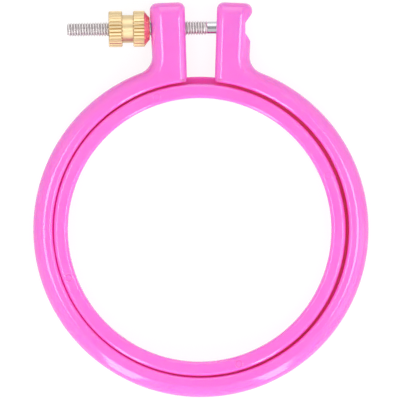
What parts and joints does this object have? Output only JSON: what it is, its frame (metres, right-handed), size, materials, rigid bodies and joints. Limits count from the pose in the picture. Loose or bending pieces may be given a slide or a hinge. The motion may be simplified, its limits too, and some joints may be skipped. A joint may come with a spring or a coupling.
{
  "type": "embroidery hoop",
  "caption": "Screw-tightened plastic embroidery hoop: a split outer hoop with clamp ears, screw and knurled nut grips fabric round a lipped inner hoop.",
  "frame": {"origin": "on the inner hoop's axis, at its flat back face, which the hoop rests on", "axes": "+Z along the hoop's axis, out of its front face; +Y from the hoop's centre towards the clamp ears; +X across the ears, towards the screw's head"},
  "size_m": [0.0986, 0.1161, 0.0116],
  "materials": {
    "hoop_plastic": "glossy moulded plastic",
    "screw_steel": "bright turned steel",
    "nut_brass": "bright turned brass"
  },
  "bodies": {
    "inner_hoop": {"inner_hoop": "hoop_plastic"},
    "outer_hoop": {"outer_hoop": "hoop_plastic"},
    "clamp_screw": {"clamp_screw": "screw_steel"},
    "knurled_nut": {"knurled_nut": "nut_brass"}
  },
  "joints": [
    {"name": "outer_hoop_lift", "type": "slide", "parent": "inner_hoop", "child": "outer_hoop", "axis": [0, 0, 1], "range_m": [0, 0.015]},
    {"name": "nut_turn", "type": "hinge", "parent": "outer_hoop", "child": "knurled_nut", "pos_m": [0.01065, 0.05952, 0.0063], "axis": [-0.9999, -0.014, 0], "range_deg": [0, 5400]},
    {"name": "screw_feed", "type": "slide", "parent": "outer_hoop", "child": "clamp_screw", "axis": [0.9999, 0.014, 0], "range_m": [0, 0.012]}
  ],
  "couplings": [
    {"joint": "screw_feed", "follows": "nut_turn", "m_per_rad": 0.00012633}
  ]
}
